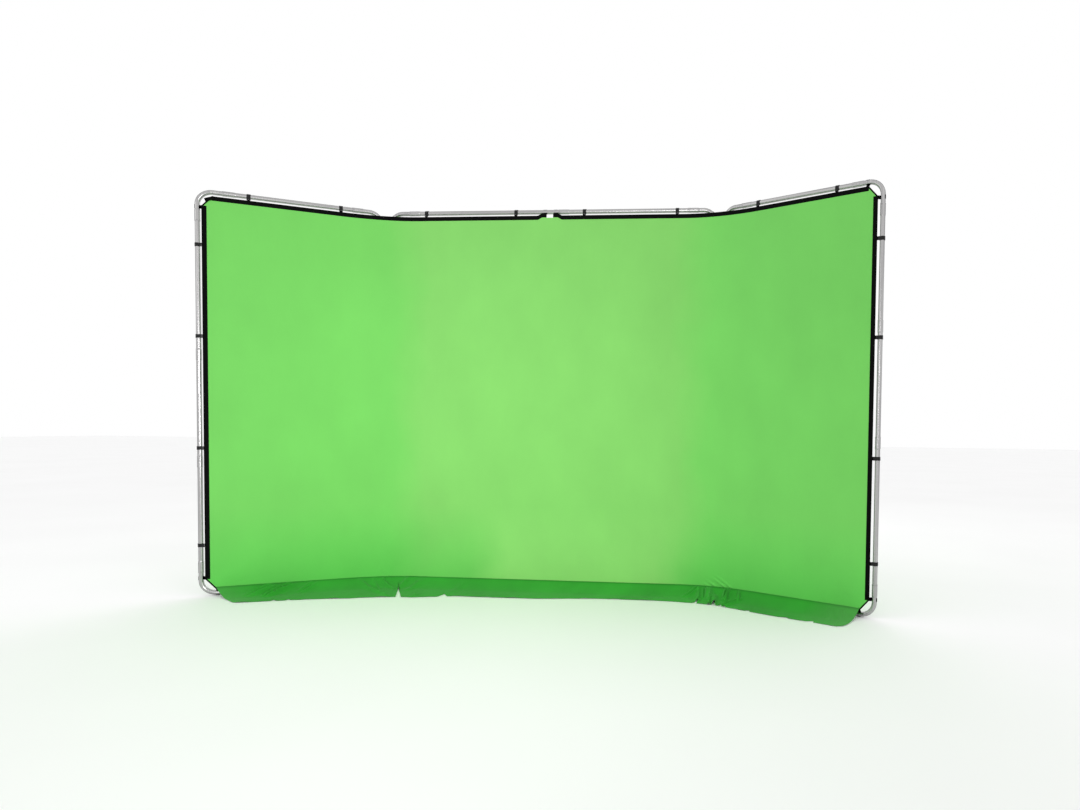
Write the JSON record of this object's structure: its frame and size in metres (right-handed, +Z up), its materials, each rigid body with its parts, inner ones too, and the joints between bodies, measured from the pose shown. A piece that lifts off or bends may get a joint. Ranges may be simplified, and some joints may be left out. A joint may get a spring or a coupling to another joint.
{
  "type": "collapsible three-panel studio backdrop",
  "caption": "Free-standing green chroma-key backdrop: cloth stretched on tube ring frames, with hinged side wings and a floor skirt.",
  "frame": {"origin": "on the floor under the middle of the bounding box, with the wings at the angle shown", "axes": "+X along the centre panel to the viewer's right, +Y from the viewer through the cloth to the back, +Z up"},
  "size_m": [3.7958, 0.702, 2.3],
  "materials": {
    "tube_aluminium": "drawn and polished tube, bright",
    "pin_steel": "plated rivet",
    "black_plastic": "moulded nylon, satin",
    "plug_plastic": "moulded plain",
    "elastic_cord": "braided elastic cord",
    "green_cloth": "matt brushed polyester, fine knit",
    "green_skirt": "matt brushed polyester, lying loose",
    "black_webbing": "woven webbing"
  },
  "bodies": {
    "centre_panel": {"centre_bottom_bar_left": "tube_aluminium", "centre_bottom_bar_right": "tube_aluminium", "centre_cloth": "green_cloth", "centre_cloth_hooks": "black_plastic", "centre_cord_plugs": "plug_plastic", "centre_corner_bottom_left": "tube_aluminium", "centre_corner_bottom_right": "tube_aluminium", "centre_corner_top_left": "tube_aluminium", "centre_corner_top_right": "tube_aluminium", "centre_edge_tape": "black_webbing", "centre_left_upright_lower": "tube_aluminium", "centre_left_upright_middle": "tube_aluminium", "centre_left_upright_upper": "tube_aluminium", "centre_link_jaws": "black_plastic", "centre_right_upright_lower": "tube_aluminium", "centre_right_upright_middle": "tube_aluminium", "centre_right_upright_upper": "tube_aluminium", "centre_shock_cord": "elastic_cord", "centre_skirt": "green_skirt", "centre_top_bar_left": "tube_aluminium", "centre_top_bar_right": "tube_aluminium", "link_hinge_pins": "pin_steel"},
    "left_wing": {"left_wing_bottom_bar": "tube_aluminium", "left_wing_cloth": "green_cloth", "left_wing_cloth_hooks": "black_plastic", "left_wing_cord_plugs": "plug_plastic", "left_wing_corner_bottom_inner": "tube_aluminium", "left_wing_corner_bottom_outer": "tube_aluminium", "left_wing_corner_top_inner": "tube_aluminium", "left_wing_corner_top_outer": "tube_aluminium", "left_wing_edge_tape": "black_webbing", "left_wing_inner_upright_lower": "tube_aluminium", "left_wing_inner_upright_middle": "tube_aluminium", "left_wing_inner_upright_upper": "tube_aluminium", "left_wing_link_jaws": "black_plastic", "left_wing_outer_upright_lower": "tube_aluminium", "left_wing_outer_upright_middle": "tube_aluminium", "left_wing_outer_upright_upper": "tube_aluminium", "left_wing_shock_cord": "elastic_cord", "left_wing_skirt": "green_skirt", "left_wing_top_bar": "tube_aluminium"},
    "right_wing": {"right_wing_bottom_bar": "tube_aluminium", "right_wing_cloth": "green_cloth", "right_wing_cloth_hooks": "black_plastic", "right_wing_cord_plugs": "plug_plastic", "right_wing_corner_bottom_inner": "tube_aluminium", "right_wing_corner_bottom_outer": "tube_aluminium", "right_wing_corner_top_inner": "tube_aluminium", "right_wing_corner_top_outer": "tube_aluminium", "right_wing_edge_tape": "black_webbing", "right_wing_inner_upright_lower": "tube_aluminium", "right_wing_inner_upright_middle": "tube_aluminium", "right_wing_inner_upright_upper": "tube_aluminium", "right_wing_link_jaws": "black_plastic", "right_wing_outer_upright_lower": "tube_aluminium", "right_wing_outer_upright_middle": "tube_aluminium", "right_wing_outer_upright_upper": "tube_aluminium", "right_wing_shock_cord": "elastic_cord", "right_wing_skirt": "green_skirt", "right_wing_top_bar": "tube_aluminium"}
  },
  "joints": [
    {"name": "left_wing_hinge", "type": "hinge", "parent": "centre_panel", "child": "left_wing", "pos_m": [-1.0275, 0.33419, 1.15], "axis": [0, 0, 1], "range_deg": [-30, 60]},
    {"name": "right_wing_hinge", "type": "hinge", "parent": "centre_panel", "child": "right_wing", "pos_m": [1.0275, 0.33419, 1.15], "axis": [0, 0, -1], "range_deg": [-30, 60]}
  ]
}
